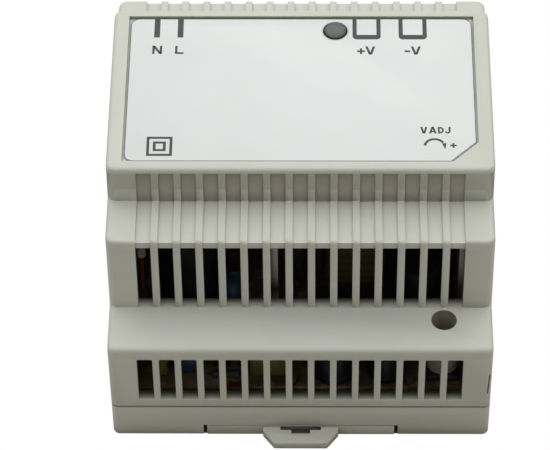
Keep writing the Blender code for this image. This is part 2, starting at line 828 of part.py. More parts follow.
def terminal_screw(name, x, mat):
    """Slotted screw that turns in place; its thread lifts the clamp cage."""
    profile = [
        (0.0, 25.25),
        (SCREW_HEAD - 0.25, 25.25),
        (SCREW_HEAD, 25.0),
        (SCREW_HEAD, 23.85),
        (SCREW_SHANK, 23.85),
        (SCREW_SHANK, 19.2),
        (SCREW_SHANK - 0.3, 18.9),
        (0.0, 18.9),
    ]
    screw = turned(name, profile, (x, TERMINAL_Y), mat, 14)
    cut(screw, box((x - 2.2, TERMINAL_Y - 0.3, 24.5), (x + 2.2, TERMINAL_Y + 0.3, 26.0)))


def clamp_cage(name, x, mat):
    """Square steel sleeve with a threaded top, which rises to press the wire against the contact."""
    outline = [(x - 1.9, 13.7), (x + 1.9, 13.7), (x + 1.9, 20.1), (x - 1.9, 20.1)]
    cage = piece(name, prism(outline, 37.0, 41.6, "Y"), mat)
    cut(cage, box((x - 1.35, 36.0, 14.7), (x + 1.35, 42.6, 19.1)))
    cut(cage, post((x, TERMINAL_Y), 1.45, 18.5, 21.0, 16))


def contact_plate(name, x, mat):
    """Fixed contact inside the cage, bent down to the board at its back."""
    outline = [
        (36.2, SEAT),
        (36.8, SEAT),
        (36.8, 17.9),
        (42.8, 17.9),
        (42.8, 18.7),
        (36.2, 18.7),
    ]
    piece(name, prism(outline, x - 1.1, x + 1.1, "X"), mat)


def terminals(mats):
    terminal_block("input_terminal_block", INPUT_X, mats["terminal_moulding"])
    terminal_block("output_terminal_block", OUTPUT_X, mats["terminal_moulding"])
    names = ("neutral", "line", "plus_1", "plus_2", "minus_1", "minus_2")
    for name, x in zip(names, INPUT_X + OUTPUT_X):
        terminal_screw(f"{name}_screw", x, mats["zinc_steel"])
        clamp_cage(f"{name}_clamp", x, mats["zinc_steel"])
        contact_plate(f"{name}_contact", x, mats["tinned_brass"])


# Transformer


def e_core(base, legs_end):
    """Outline of one E-shaped core half in X and Z, with its legs pointing from base to legs_end."""
    x, _ = TRANSFORMER_AT
    yoke = base + math.copysign(3.2, legs_end - base)
    widths = ((-9.8, -6.8), (-2.4, 2.4), (6.8, 9.8))
    outline = [(x - 9.8, base)]
    for left, right in widths:
        outline += [(x + left, yoke), (x + left, legs_end), (x + right, legs_end), (x + right, yoke)]
    outline.remove((x - 9.8, yoke))
    outline.remove((x + 9.8, yoke))
    return outline + [(x + 9.8, base)]


def transformer(mats):
    """Two core halves on a bobbin, with the taped winding between the bobbin's flanges."""
    x, y = TRANSFORMER_AT
    piece("transformer_core_lower", prism(e_core(16.0, 27.05), y - 5.0, y + 5.0, "Y"), mats["ferrite"])
    piece("transformer_core_upper", prism(e_core(38.4, 27.35), y - 5.0, y + 5.0, "Y"), mats["ferrite"])
    former = box((x - 3.5, y - 6.1, 19.6), (x + 3.5, y + 6.1, 34.8))
    bobbin = piece("transformer_bobbin", former, mats["phenolic"])
    flanges = [box((x - 6.5, y - 9.0, z), (x + 6.5, y + 9.0, z + 0.9)) for z in (19.5, 34.0)]
    join(bobbin, together(*flanges))
    rails = [
        box((x - 9.0, y - 9.0, SEAT), (x + 9.0, y - 5.4, 19.9)),
        box((x - 9.0, y + 5.4, SEAT), (x + 9.0, y + 9.0, 19.9)),
    ]
    join(bobbin, together(*rails))
    cut(bobbin, box((x - 2.7, y - 5.3, 18.0), (x + 2.7, y + 5.3, 36.0)))
    coil = box((x - 6.4, y - 8.8, 20.7), (x + 6.4, y + 8.8, 33.7))
    round_edges(coil, 3.0, 4, lambda edge: abs(edge.verts[0].co.z - edge.verts[1].co.z) > 1.0)
    winding = piece("transformer_winding", coil, mats["winding_tape"])
    cut(winding, box((x - 3.8, y - 6.4, 18.0), (x + 3.8, y + 6.4, 36.0)))


# Remaining components


def fuse(mat):
    """Small axial fuse standing upright on one long lead."""
    profile = [
        (0.0, 38.5),
        (0.6, 38.5),
        (0.9, 38.2),
        (0.9, 31.4),
        (0.6, 31.1),
        (0.35, 31.0),
        (0.35, SEAT),
        (0.0, SEAT),
    ]
    turned("fuse", profile, FUSE_AT, mat, 16)


def bridge_rectifier(mat):
    """Flat single in-line rectifier with four legs and one bevelled corner."""
    x, y = BRIDGE_AT
    outline = [(x - 7.2, 15.4), (x + 7.2, 15.4), (x + 7.2, 27.0), (x - 4.6, 27.0), (x - 7.2, 24.4)]
    body = piece("bridge_rectifier", prism(outline, y - 1.7, y + 1.7, "Y"), mat)
    legs = [
        box((x + shift - 0.45, y - 0.3, SEAT), (x + shift + 0.45, y + 0.3, 16.0))
        for shift in (-5.7, -1.9, 1.9, 5.7)
    ]
    join(body, together(*legs))


def trimmer(mats):
    """Adjuster under the guide tube: a square body and a cross-slotted rotor that turns in it."""
    x, y = ADJUST_AT
    housing = soft_box((x - 3.5, y - 3.5, SEAT), (x + 3.5, y + 3.5, 14.1), 0.3)
    body = piece("trimmer_body", housing, mats["trimmer_dark"])
    cut(body, post(ADJUST_AT, 1.6, 13.1, 15.5, 16))
    profile = [
        (0.0, 16.8),
        (2.0, 16.8),
        (2.2, 16.6),
        (2.2, 14.5),
        (1.3, 14.5),
        (1.3, 13.5),
        (0.0, 13.5),
    ]
    rotor = turned("trimmer_rotor", profile, ADJUST_AT, mats["rotor_grey"], 20)
    cut(rotor, box((x - 1.6, y - 0.35, 16.1), (x + 1.6, y + 0.35, 17.5)))
    cut(rotor, box((x - 0.35, y - 1.6, 16.1), (x + 0.35, y + 0.9, 17.5)))


def indicator(mats):
    """Front lens on a long light guide, over a small lamp on the board."""
    guide = [
        (0.0, 56.15),
        (1.9, 56.1),
        (2.3, 55.8),
        (2.3, 53.4),
        (3.1, 53.3),
        (3.1, 52.2),
        (1.6, 51.6),
        (1.6, 18.4),
        (0.0, 18.4),
    ]
    turned("light_pipe", guide, INDICATOR_AT, mats["lens"], 24)
    lamp = [
        (0.0, 17.9),
        (0.8, 17.7),
        (1.4, 17.0),
        (1.5, 16.4),
        (1.5, 13.6),
        (1.9, 13.6),
        (1.9, SEAT),
        (0.0, SEAT),
    ]
    turned("indicator_led", lamp, INDICATOR_AT, mats["led"], 20)


def power_stage(mats):
    """Both heat sinks with the packages and screws they carry."""
    sheet, package, zinc = mats["aluminium"], mats["package_black"], mats["zinc_steel"]
    heatsink("primary_heatsink", sheet, PRIMARY_HEATSINK_X, (-30.5, 10.0), (-18.0, 36.5))
    flat_pack("switching_transistor", package, PRIMARY_HEATSINK_X[1], 1, -18.0, 24.0)
    plate_screw("transistor_screw", zinc, PRIMARY_HEATSINK_X[1], 1, -18.0, 36.5)
    heatsink("secondary_heatsink", sheet, SECONDARY_HEATSINK_X, (-30.5, 23.5), (17.5, 36.5))
    flat_pack("rectifier_diode", package, SECONDARY_HEATSINK_X[0], -1, 17.5, 24.0)
    plate_screw("diode_screw", zinc, SECONDARY_HEATSINK_X[0], -1, 17.5, 36.5)


def board_components(mats):
    """Everything else that stands on the board."""
    fuse(mats["ceramic"])
    box_capacitor("x_capacitor", (-29.9, -41.0), (-27.3, -29.0, 24.2), mats["film_yellow"])
    box_capacitor("film_capacitor", (-10.4, -41.2), (-3.0, -34.4, 22.6), mats["film_yellow"])
    disc("varistor", VARISTOR_AT, 16.9, 3.1, 3.6, mats["dipped_blue"])
    disc("y_capacitor", Y_CAPACITOR_AT, 24.8, 4.3, 3.8, mats["dipped_blue"], "X")
    disc("inrush_thermistor", THERMISTOR_AT, 18.0, 4.6, 4.0, mats["dipped_green"], "X")
    can_capacitor("bulk_capacitor", BULK_CAPACITOR_AT, 7.4, 25.0, mats["sleeve_black"])
    for number, at in enumerate(OUTPUT_CAPACITORS_AT, 1):
        can_capacitor(f"output_capacitor_{number}", at, 4.8, 20.0, mats["sleeve_black"])
    can_capacitor("filter_capacitor", FILTER_CAPACITOR_AT, 5.0, 12.5, mats["sleeve_blue"])
    can_capacitor("supply_capacitor", SUPPLY_CAPACITOR_AT, 4.0, 11.5, mats["sleeve_blue"])
    chip("control_ic", CONTROL_IC_AT, 8, mats["package_black"])
    chip("optocoupler", OPTOCOUPLER_AT, 4, mats["package_black"])
    bridge_rectifier(mats["package_black"])
    ring_core("choke_core", CHOKE_AT, 9.0, 5.0, 15.4, 22.4, mats["ferrite"])
    ring_winding("choke_winding", CHOKE_AT, 9.0, 5.0, 15.4, 22.4, 12, 5.2, 0.5, mats["copper"])
    ring_core("inductor_core", INDUCTOR_AT, 6.0, 3.2, 14.6, 20.0, mats["ring_yellow"])
    ring_winding("inductor_winding", INDUCTOR_AT, 6.0, 3.2, 14.6, 20.0, 10, 5.0, 0.45, mats["copper"])


def make_materials():
    return {
        "housing_grey": material("housing_grey", (0.56, 0.56, 0.50), 0.5),
        "label_white": material("label_white", (0.80, 0.83, 0.81), 0.35),
        "circuit_board": material("circuit_board", (0.28, 0.17, 0.07), 0.5),
        "terminal_moulding": material("terminal_moulding", (0.05, 0.05, 0.05), 0.5),
        "zinc_steel": material("zinc_steel", (0.62, 0.63, 0.64), 0.3, 1.0),
        "tinned_brass": material("tinned_brass", (0.72, 0.70, 0.64), 0.3, 1.0),
        "aluminium": material("aluminium", (0.42, 0.43, 0.43), 0.4, 1.0),
        "copper": material("copper", (0.65, 0.28, 0.12), 0.3, 1.0),
        "ferrite": material("ferrite", (0.06, 0.06, 0.065), 0.6),
        "ring_yellow": material("ring_yellow", (0.70, 0.58, 0.12), 0.5),
        "phenolic": material("phenolic", (0.04, 0.035, 0.03), 0.5),
        "winding_tape": material("winding_tape", (0.20, 0.18, 0.06), 0.4),
        "ceramic": material("ceramic", (0.80, 0.78, 0.74), 0.4),
        "film_yellow": material("film_yellow", (0.22, 0.19, 0.05), 0.45),
        "dipped_blue": material("dipped_blue", (0.05, 0.16, 0.35), 0.35),
        "dipped_green": material("dipped_green", (0.05, 0.16, 0.10), 0.4),
        "sleeve_black": material("sleeve_black", (0.02, 0.02, 0.025), 0.35),
        "sleeve_blue": material("sleeve_blue", (0.03, 0.05, 0.18), 0.35),
        "package_black": material("package_black", (0.03, 0.03, 0.03), 0.5),
        "trimmer_dark": material("trimmer_dark", (0.02, 0.03, 0.05), 0.4),
        "rotor_grey": material("rotor_grey", (0.17, 0.17, 0.12), 0.45),
        "lens": material("lens", (0.13, 0.14, 0.14), 0.25),
        "led": material("led", (0.25, 0.55, 0.25), 0.2),
    }


def main():
    start_scene()
    mats = make_materials()
    base_housing(mats["housing_grey"])
    front_cover(mats["housing_grey"])
    front_label(mats["label_white"])
    rail_latch(mats["housing_grey"])
    main_pcb(mats["circuit_board"])
    terminals(mats)
    board_components(mats)
    transformer(mats)
    power_stage(mats)
    trimmer(mats)
    indicator(mats)


main()
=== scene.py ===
"""Looks of the DIN rail power supply: finishes, print, small board parts, light and camera."""

import json
import math

import bmesh
import bpy
from mathutils import Matrix, Vector


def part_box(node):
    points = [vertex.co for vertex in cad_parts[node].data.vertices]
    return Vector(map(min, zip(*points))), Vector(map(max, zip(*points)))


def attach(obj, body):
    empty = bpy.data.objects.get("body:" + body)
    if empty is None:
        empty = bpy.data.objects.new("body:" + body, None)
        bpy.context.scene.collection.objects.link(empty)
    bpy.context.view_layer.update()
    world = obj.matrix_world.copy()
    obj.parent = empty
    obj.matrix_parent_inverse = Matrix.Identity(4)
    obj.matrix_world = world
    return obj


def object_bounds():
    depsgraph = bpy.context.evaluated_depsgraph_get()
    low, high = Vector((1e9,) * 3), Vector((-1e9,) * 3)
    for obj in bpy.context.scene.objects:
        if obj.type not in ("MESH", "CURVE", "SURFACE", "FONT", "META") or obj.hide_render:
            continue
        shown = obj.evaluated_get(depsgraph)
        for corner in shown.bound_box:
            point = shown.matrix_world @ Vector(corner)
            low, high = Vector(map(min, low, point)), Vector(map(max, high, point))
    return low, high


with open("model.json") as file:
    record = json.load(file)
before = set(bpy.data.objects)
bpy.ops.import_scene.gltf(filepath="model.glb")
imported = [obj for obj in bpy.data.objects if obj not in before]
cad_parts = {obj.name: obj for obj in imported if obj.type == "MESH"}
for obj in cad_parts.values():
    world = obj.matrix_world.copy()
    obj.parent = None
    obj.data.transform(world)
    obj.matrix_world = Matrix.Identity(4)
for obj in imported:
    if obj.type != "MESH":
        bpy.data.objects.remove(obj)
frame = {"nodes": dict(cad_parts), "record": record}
cad_low, cad_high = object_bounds()
nodes = frame["nodes"]

MM = 0.001
PLASTIC = (0.572, 0.584, 0.534)
BACK_PLANE = -4.7
ADJUST_AT = (29.15, -38.5)
INDICATOR_AT = (7.1, 16.65)

# Inside of the cover, which gets painted shade: half its width, its floor, then for each step half its
# length, the depth over which the painted shade fades through the wall, and the height the step reaches
ROOM_X = 36.7
ROOM_FLOOR = 7.0 + BACK_PLANE
ROOM_STEPS = (
    (44.7, 1.8, 25.8 + BACK_PLANE),
    (32.9, 1.4, 44.8 + BACK_PLANE),
    (20.1, 1.6, 53.5 + BACK_PLANE),
)
TUBE_BORE = 2.62
TUBE_OUTSIDE = 3.5
TUBE_RIM = 15.3 + BACK_PLANE
FUSE_BODY = 7.3

# Floor of the grooves in the top tier's walls, which gets painted shade: distance from the middle, and
# their foot and head
GROOVE_Y = 22.05
GROOVE_Z = (47.3 + BACK_PLANE, 54.85 + BACK_PLANE)
SEAM_Z = 9.7 + BACK_PLANE

# Label: its corners, then the print on it
LABEL_CORNER = 1.9
LABEL_CUT = 5.2
INK = 0.02
BORDER = (0.05, 0.2)
SUPPLY_LINES_AT = (-29.93, -25.08)
SUPPLY_LINE_HALF = 0.6
LOAD_FRAMES_AT = (13.6, 23.18)
LOAD_FRAME = (2.92, 2.05)
LOAD_FRAME_CORNER = 0.9
LOAD_FRAME_BAR = 1.27
LOAD_FRAME_DROP = 0.53
LINE_FOOT = 14.73
ARROW_AT = (27.0, -15.8)
ARROW_RADIUS = 2.02
ARROW_HALF = 0.26
ARROW_HEAD = ((29.42, -14.9), (28.45, -14.9), (29.08, -16.5))
MARK_LOW = (-31.0, -18.4)
MARK_HIGH = (-25.8, -13.2)
MARK_LINE = 0.56
MARK_INSETS = (0.0, 1.3)

# Letters and signs on the label: kind, left, right, foot, head and stroke
LETTERS = (
    ("N", -30.77, -28.75, 10.0, 12.3, 0.48),
    ("L", -26.06, -24.3, 10.0, 12.3, 0.48),
    ("+", 11.6, 13.2, 9.95, 11.6, 0.46),
    ("V", 13.3, 15.35, 9.85, 12.15, 0.5),
    ("-", 21.4, 22.55, 9.95, 11.6, 0.48),
    ("V", 22.7, 24.75, 9.85, 12.15, 0.5),
    ("V", 24.2, 25.6, -12.25, -10.45, 0.4),
    ("A", 25.95, 27.45, -12.25, -10.45, 0.4),
    ("D", 27.73, 28.95, -12.25, -10.45, 0.38),
    ("J", 29.15, 30.3, -12.25, -10.45, 0.4),
    ("+", 30.12, 31.42, -16.15, -14.85, 0.4),
)

# Indicator: the light ring's radii and depth, and the hole in the label's backing
RING = (2.76, 2.58)
RING_DEPTH = 0.5
BACKING_HOLE = 2.9
BACKING = (0.07, 0.09)

# Low parts on the board: places across and along it
RESISTOR_AT = (-15.4, -40.6)
RESISTOR_HALF = 2.9
RESISTOR_AXIS = 1.05
CAPACITOR_BOX = ((-14.8, -43.4, 0.02), (-12.3, -42.3, 0.7))
DIODE_BOX = ((-1.3, -36.6, 0.02), (1.3, -34.8, 1.3))

# Stage: floor and contact patch, then the dome's lean, fall-off, glow and tint, then the camera
FLOOR_HALF = 6000
FLOOR_DROP = 0.2
PATCH_DROP = 0.1
PATCH_SIDE = 38.2
PATCH_END = 45.9
PATCH_CORNER = 2.5
PATCH_TAB = 4.7
PATCH_TAB_END = 48.4
DOME_LEAN = 20.0
DOME_FALL = 1.5
DOME_GLOW = (1.93, 0.012)
DOME_TINT = ((0.25, (1.0, 0.93, 0.78, 1.0)), (0.9, (0.985, 1.0, 1.0, 1.0)))
CAMERA_AT = (0.00358, -0.43296, 0.51034)
CAMERA_ELEVATION = 49.214
CAMERA_AZIMUTH = 1.2265
CAMERA_ROLL = -0.865
CAMERA_LENS = 201.92
CAMERA_SENSOR = 36.0


# Shader helpers


class Shader:
    """A node material with short calls for the nodes that the finishes below share."""

    def __init__(self, name):
        self.material = bpy.data.materials.new(name)
        self.material.use_nodes = True
        self.tree = self.material.node_tree
        self.surface = self.tree.nodes["Principled BSDF"]
        self.place = self.tree.nodes.new("ShaderNodeTexCoord").outputs["Object"]

    def link(self, source, target):
        self.tree.links.new(source, target)

    def set(self, **values):
        """Principled inputs by name, with _ for each space."""
        for name, value in values.items():
            self.surface.inputs[name.replace("_", " ")].default_value = value

    def stretched(self, scale):
        """Object coordinates scaled by (x, y, z), in cycles per metre."""
        mapping = self.tree.nodes.new("ShaderNodeMapping")
        mapping.inputs["Scale"].default_value = scale
        self.link(self.place, mapping.inputs["Vector"])
        return mapping.outputs["Vector"]

    def noise(self, size, detail=3.0, place=None):
        """Noise whose features are about size millimetres."""
        node = self.tree.nodes.new("ShaderNodeTexNoise")
        node.inputs["Scale"].default_value = 1.0 / (size * MM) if place is None else 1.0
        node.inputs["Detail"].default_value = detail
        self.link(place or self.place, node.inputs["Vector"])
        return node.outputs["Fac"]

    def ramp(self, value, low, high, start=0.0, end=1.0):
        """Value from low..high mapped to start..end."""
        node = self.tree.nodes.new("ShaderNodeMapRange")
        node.inputs["From Min"].default_value = low
        node.inputs["From Max"].default_value = high
        node.inputs["To Min"].default_value = start
        node.inputs["To Max"].default_value = end
        self.link(value, node.inputs["Value"])
        return node.outputs["Result"]

    def mix(self, amount, first, second):
        """Blend of two colours or colour sockets."""
        node = self.tree.nodes.new("ShaderNodeMix")
        node.data_type = "RGBA"
        self.link(amount, node.inputs["Factor"])
        for socket, colour in ((node.inputs[6], first), (node.inputs[7], second)):
            if isinstance(colour, tuple):
                socket.default_value = (*colour, 1.0)
            else:
                self.link(colour, socket)
        return node.outputs[2]

    def math(self, operation, first, second):
        node = self.tree.nodes.new("ShaderNodeMath")
        node.operation = operation
        for socket, value in zip(node.inputs, (first, second)):
            if isinstance(value, (int, float)):
                socket.default_value = value
            else:
                self.link(value, socket)
        return node.outputs[0]

    def paint(self, tone):
        self.link(tone, self.surface.inputs["Base Color"])

    def tone(self):
        """The colour painted so far."""
        return self.surface.inputs["Base Color"].links[0].from_socket

    def parts_of(self, output):
        """X, Y and Z of the surface's position or normal in the world."""
        split = self.tree.nodes.new("ShaderNodeSeparateXYZ")
        self.link(self.tree.nodes.new("ShaderNodeNewGeometry").outputs[output], split.inputs["Vector"])
        return split.outputs

    def vary_roughness(self, texture, low, high):
        self.link(self.ramp(texture, 0.3, 0.7, low, high), self.surface.inputs["Roughness"])

    def bump(self, height, depth, strength=1.0):
        """Bump of depth millimetres, added to the bump set before it."""
        node = self.tree.nodes.new("ShaderNodeBump")
        node.inputs["Distance"].default_value = depth * MM
        node.inputs["Strength"].default_value = strength
        self.link(height, node.inputs["Height"])
        normal = self.surface.inputs["Normal"]
        if normal.is_linked:
            self.link(normal.links[0].from_socket, node.inputs["Normal"])
        self.link(node.outputs["Normal"], normal)

    def edge(self, radius):
        """1 on edges and corners within radius millimetres, 0 on flat ground."""
        bevel = self.tree.nodes.new("ShaderNodeBevel")
        bevel.samples = 4
        bevel.inputs["Radius"].default_value = radius * MM
        geometry = self.tree.nodes.new("ShaderNodeNewGeometry")
        dot = self.tree.nodes.new("ShaderNodeVectorMath")
        dot.operation = "DOT_PRODUCT"
        self.link(bevel.outputs["Normal"], dot.inputs[0])
        self.link(geometry.outputs["Normal"], dot.inputs[1])
        return self.ramp(dot.outputs["Value"], 0.995, 0.80)

    def corner_shade(self, reach):
        """Painted shade mask: 1 deep in the corners and grooves of upright walls, within reach
        millimetres, 0 elsewhere.
        """
        hidden = self.tree.nodes.new("ShaderNodeAmbientOcclusion")
        hidden.samples = 8
        hidden.inputs["Distance"].default_value = reach * MM
        level = self.math("ABSOLUTE", self.parts_of("Normal")[2], 0.0)
        depth = self.ramp(hidden.outputs["AO"], 0.85, 0.35)
        return self.math("MULTIPLY", depth, self.ramp(level, 0.6, 0.2))


def shades(colour, spread):
    """A darker and a lighter shade of a colour."""
    return tuple(c * (1 - spread) for c in colour), tuple(min(1.0, c * (1 + spread)) for c in colour)


def moulded(*settings):
    return moulded_shader(*settings).material


def moulded_shader(name, colour, roughness, grain, depth, spread, edge_wear_and_highlight=False):
    """Moulded plastic: spark-eroded grain, faint flow marks in colour, and uneven gloss."""
    shader = Shader(name)
    dark, light = shades(colour, spread)
    cloud = shader.noise(9.0, 4.0)
    tone = shader.mix(shader.ramp(cloud, 0.3, 0.7), dark, light)
    # Lighter edges: partly wear, partly painted highlight.
    if edge_wear_and_highlight:
        tone = shader.mix(shader.math("MULTIPLY", shader.edge(0.35), 0.35), tone, shades(light, 0.12)[1])
    shader.paint(tone)
    fine = shader.noise(grain, 2.0)
    shader.vary_roughness(fine, roughness - 0.07, roughness + 0.07)
    shader.bump(fine, depth)
    shader.bump(shader.noise(2.2, 3.0), depth * 1.5, 0.5)
    shader.set(IOR=1.49)
    return shader


def below(shader, value, limit):
    return shader.math("LESS_THAN", value, limit * MM)


def inside_shade_masks(shader):
    """Masks of painted shade over the inside of the cover, weaker on the guide tube, and over the
    adjuster's bore.
    """
    x, y, z = shader.parts_of("Position")
    across = shader.math("ABSOLUTE", x, 0.0)
    along = shader.math("ABSOLUTE", y, 0.0)
    steps = None
    for half_y, fade, top in ROOM_STEPS:
        depth = shader.ramp(along, half_y * MM, (half_y + fade) * MM, 1.0, 0.0)
        step = shader.math("MULTIPLY", depth, below(shader, z, top))
        steps = step if steps is None else shader.math("MAXIMUM", steps, step)
    inside_shade = shader.math("MULTIPLY", steps, below(shader, across, ROOM_X))
    inside_shade = shader.math("MULTIPLY", inside_shade, shader.math("GREATER_THAN", z, ROOM_FLOOR * MM))
    from_axis = shader.math("SUBTRACT", x, ADJUST_AT[0] * MM)
    beside_axis = shader.math("SUBTRACT", y, ADJUST_AT[1] * MM)
    squares = shader.math("MULTIPLY", from_axis, from_axis)
    squares = shader.math("ADD", squares, shader.math("MULTIPLY", beside_axis, beside_axis))
    radius = shader.math("SQRT", squares, 0.0)
    off_tube = shader.math("GREATER_THAN", radius, TUBE_OUTSIDE * MM)
    on_tube = shader.math("MULTIPLY", shader.math("GREATER_THAN", z, TUBE_RIM * MM), 0.3)
    inside_shade = shader.math("MULTIPLY", inside_shade, shader.math("MAXIMUM", off_tube, on_tube))
    return inside_shade, below(shader, radius, TUBE_BORE)


def groove_shade_mask(shader):
    """Painted shade mask: 1 on the floor of the grooves in the top tier's two walls, and less on the
    ribs between them.
    """
    y, z = shader.parts_of("Position")[1:]
    off_floor = shader.math("SUBTRACT", shader.math("ABSOLUTE", y, 0.0), GROOVE_Y * MM)
    off_floor = shader.math("ABSOLUTE", off_floor, 0.0)
    near = shader.ramp(off_floor, 0.1 * MM, 0.4 * MM, 1.0, 0.35)
    near = shader.math("MULTIPLY", near, below(shader, off_floor, 0.8))
    near = shader.math("MULTIPLY", near, below(shader, z, GROOVE_Z[1]))
    return shader.math("MULTIPLY", near, shader.math("GREATER_THAN", z, GROOVE_Z[0] * MM))


def seam_shade_mask(shader):
    """Painted shade mask: 1 along the edges where the two halves of the housing meet, fading to 0 on
    both sides.
    """
    off_seam = shader.math("SUBTRACT", shader.parts_of("Position")[2], SEAM_Z * MM)
    return shader.ramp(shader.math("ABSOLUTE", off_seam, 0.0), 0.45 * MM, 0.2 * MM)


def housing_plastic():
    """Warm light grey moulding, with lighter edges that are partly wear and partly painted highlight,
    and painted shade in the corners of its upright walls, in the grooves, along the seam, over the
    inside and in the adjuster's bore.
    """
    shader = moulded_shader("housing_plastic", PLASTIC, 0.52, 0.22, 0.010, 0.018, edge_wear_and_highlight=True)
    inside_shade, bore_shade = inside_shade_masks(shader)
    # Painted shade: upright walls darkened towards their corners and grooves.
    corner_shade = shader.math("MULTIPLY", shader.corner_shade(5.0), 0.85)
    shader.paint(shader.mix(corner_shade, shader.tone(), (0.30, 0.275, 0.20)))
    # Painted shade on the floor of the grooves in the top tier's walls.
    groove_shade = shader.math("MULTIPLY", groove_shade_mask(shader), 0.95)
    shader.paint(shader.mix(groove_shade, shader.tone(), (0.345, 0.315, 0.245)))
    # Painted shade along the seam between the two halves.
    seam_shade = shader.math("MULTIPLY", seam_shade_mask(shader), 0.6)
    shader.paint(shader.mix(seam_shade, shader.tone(), (0.24, 0.22, 0.17)))
    # Painted shade over the inside of the cover, lighter on the guide tube above its rim.
    shader.paint(shader.mix(inside_shade, shader.tone(), (0.085, 0.078, 0.058)))
    # Painted shade in the adjuster's bore.
    shader.paint(shader.mix(bore_shade, shader.tone(), (0.24, 0.23, 0.175)))
    return shader.material


def fuse_ceramic():
    """White ceramic body over a bare copper lead."""
    shader = moulded_shader("fuse_ceramic", (0.86, 0.86, 0.84), 0.35, 0.3, 0.006, 0.08)
    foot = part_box("fuse")[1].z / MM - FUSE_BODY
    lead = below(shader, shader.parts_of("Position")[2], foot)
    shader.paint(shader.mix(lead, shader.tone(), (0.30, 0.12, 0.045)))
    return shader.material


def label_film():
    """Matt polyester film with a fine pearl texture."""
    shader = Shader("label_film")
    fine = shader.noise(0.12, 2.0)
    cloud = shader.noise(14.0, 3.0)
    tone = shader.mix(shader.ramp(cloud, 0.35, 0.65), (0.703, 0.738, 0.746), (0.723, 0.758, 0.766))
    shader.paint(tone)
    shader.vary_roughness(fine, 0.38, 0.5)
    shader.bump(fine, 0.004)
    return shader.material


def printed_ink():
    """Screen-printed ink, slightly broken at its edges."""
    shader = Shader("printed_ink")
    broken = shader.ramp(shader.noise(0.15, 3.0), 0.35, 0.65)
    tone = shader.mix(broken, (0.03, 0.033, 0.033), (0.055, 0.06, 0.058))
    shader.paint(tone)
    shader.set(Roughness=0.5)
    return shader.material


def metal(name, colour, roughness, lines=(900.0, 900.0, 12000.0)):
    """Rolled or plated metal: fine lines one way, with cloudy roughness."""
    shader = Shader(name)
    dark, light = shades(colour, 0.10)
    grain = shader.noise(1.0, 3.0, shader.stretched(lines))
    shader.link(shader.mix(grain, dark, light), shader.surface.inputs["Base Color"])
    cloud = shader.noise(3.0, 4.0)
    shader.vary_roughness(cloud, roughness - 0.08, roughness + 0.1)
    shader.bump(grain, 0.003)
    shader.set(Metallic=1.0)
    return shader.material


def circuit_board():
    """Brown laminate with its paper fibre, darker solder mask bands and small pads."""
    shader = Shader("board_laminate")
    fibre = shader.noise(1.0, 4.0, shader.stretched((2600.0, 700.0, 900.0)))
    base = shader.mix(shader.ramp(fibre, 0.3, 0.7), (0.15, 0.105, 0.05), (0.24, 0.17, 0.085))
    cells = shader.tree.nodes.new("ShaderNodeTexVoronoi")
    cells.distance = "CHEBYCHEV"
    cells.inputs["Scale"].default_value = 1.0 / (3.2 * MM)
    shader.link(shader.place, cells.inputs["Vector"])
    tracks = shader.ramp(cells.outputs["Distance"], 0.22, 0.26)
    tone = shader.mix(tracks, base, (0.11, 0.077, 0.038))
    shader.paint(tone)
    shader.set(Roughness=0.45)
    shader.bump(fibre, 0.01)
    return shader.material


def sleeve(name, colour):
    """Shrink sleeve: glossy film with slight ripples and a long seam tone."""
    shader = Shader(name)
    ripple = shader.noise(1.0, 2.0, shader.stretched((500.0, 500.0, 120.0)))
    dark, light = shades(colour, 0.25)
    shader.link(shader.mix(ripple, dark, light), shader.surface.inputs["Base Color"])
    shader.vary_roughness(shader.noise(0.8, 3.0), 0.45, 0.62)
    shader.set(Specular_IOR_Level=0.3)
    shader.bump(ripple, 0.03)
    return shader.material


def dipped(name, colour):
    """Dipped epoxy: thick glossy coat with an orange-peel skin."""
    shader = Shader(name)
    peel = shader.noise(0.9, 3.0)
    dark, light = shades(colour, 0.18)
    shader.link(shader.mix(peel, dark, light), shader.surface.inputs["Base Color"])
    shader.set(Roughness=0.42, Specular_IOR_Level=0.25, Coat_Weight=0.06, Coat_Roughness=0.2)
    shader.bump(peel, 0.05)
    return shader.material


def tape():
    """Layers of yellow polyester tape, with wrap edges every few millimetres."""
    shader = Shader("winding_tape")
    waves = shader.tree.nodes.new("ShaderNodeTexWave")
    waves.bands_direction = "Z"
    waves.inputs["Scale"].default_value = 1.0 / (7.0 * MM)
    waves.inputs["Distortion"].default_value = 0.6
    shader.link(shader.place, waves.inputs["Vector"])
    layers = shader.ramp(waves.outputs["Fac"], 0.1, 0.9)
    shader.paint(shader.mix(layers, (0.125, 0.118, 0.042), (0.15, 0.14, 0.048)))
    shader.set(Roughness=0.45)
    shader.bump(waves.outputs["Fac"], 0.03)
    return shader.material


def smoked_lens():
    """Smoked light guide: dark grey with a soft inner cloud and a clear coat."""
    shader = Shader("smoked_lens")
    cloud = shader.noise(1.2, 2.0)
    shader.paint(shader.mix(cloud, (0.055, 0.06, 0.06), (0.10, 0.108, 0.105)))
    shader.vary_roughness(shader.noise(0.2, 2.0), 0.22, 0.32)
    shader.set(Coat_Weight=0.3, Coat_Roughness=0.1)
    return shader.material


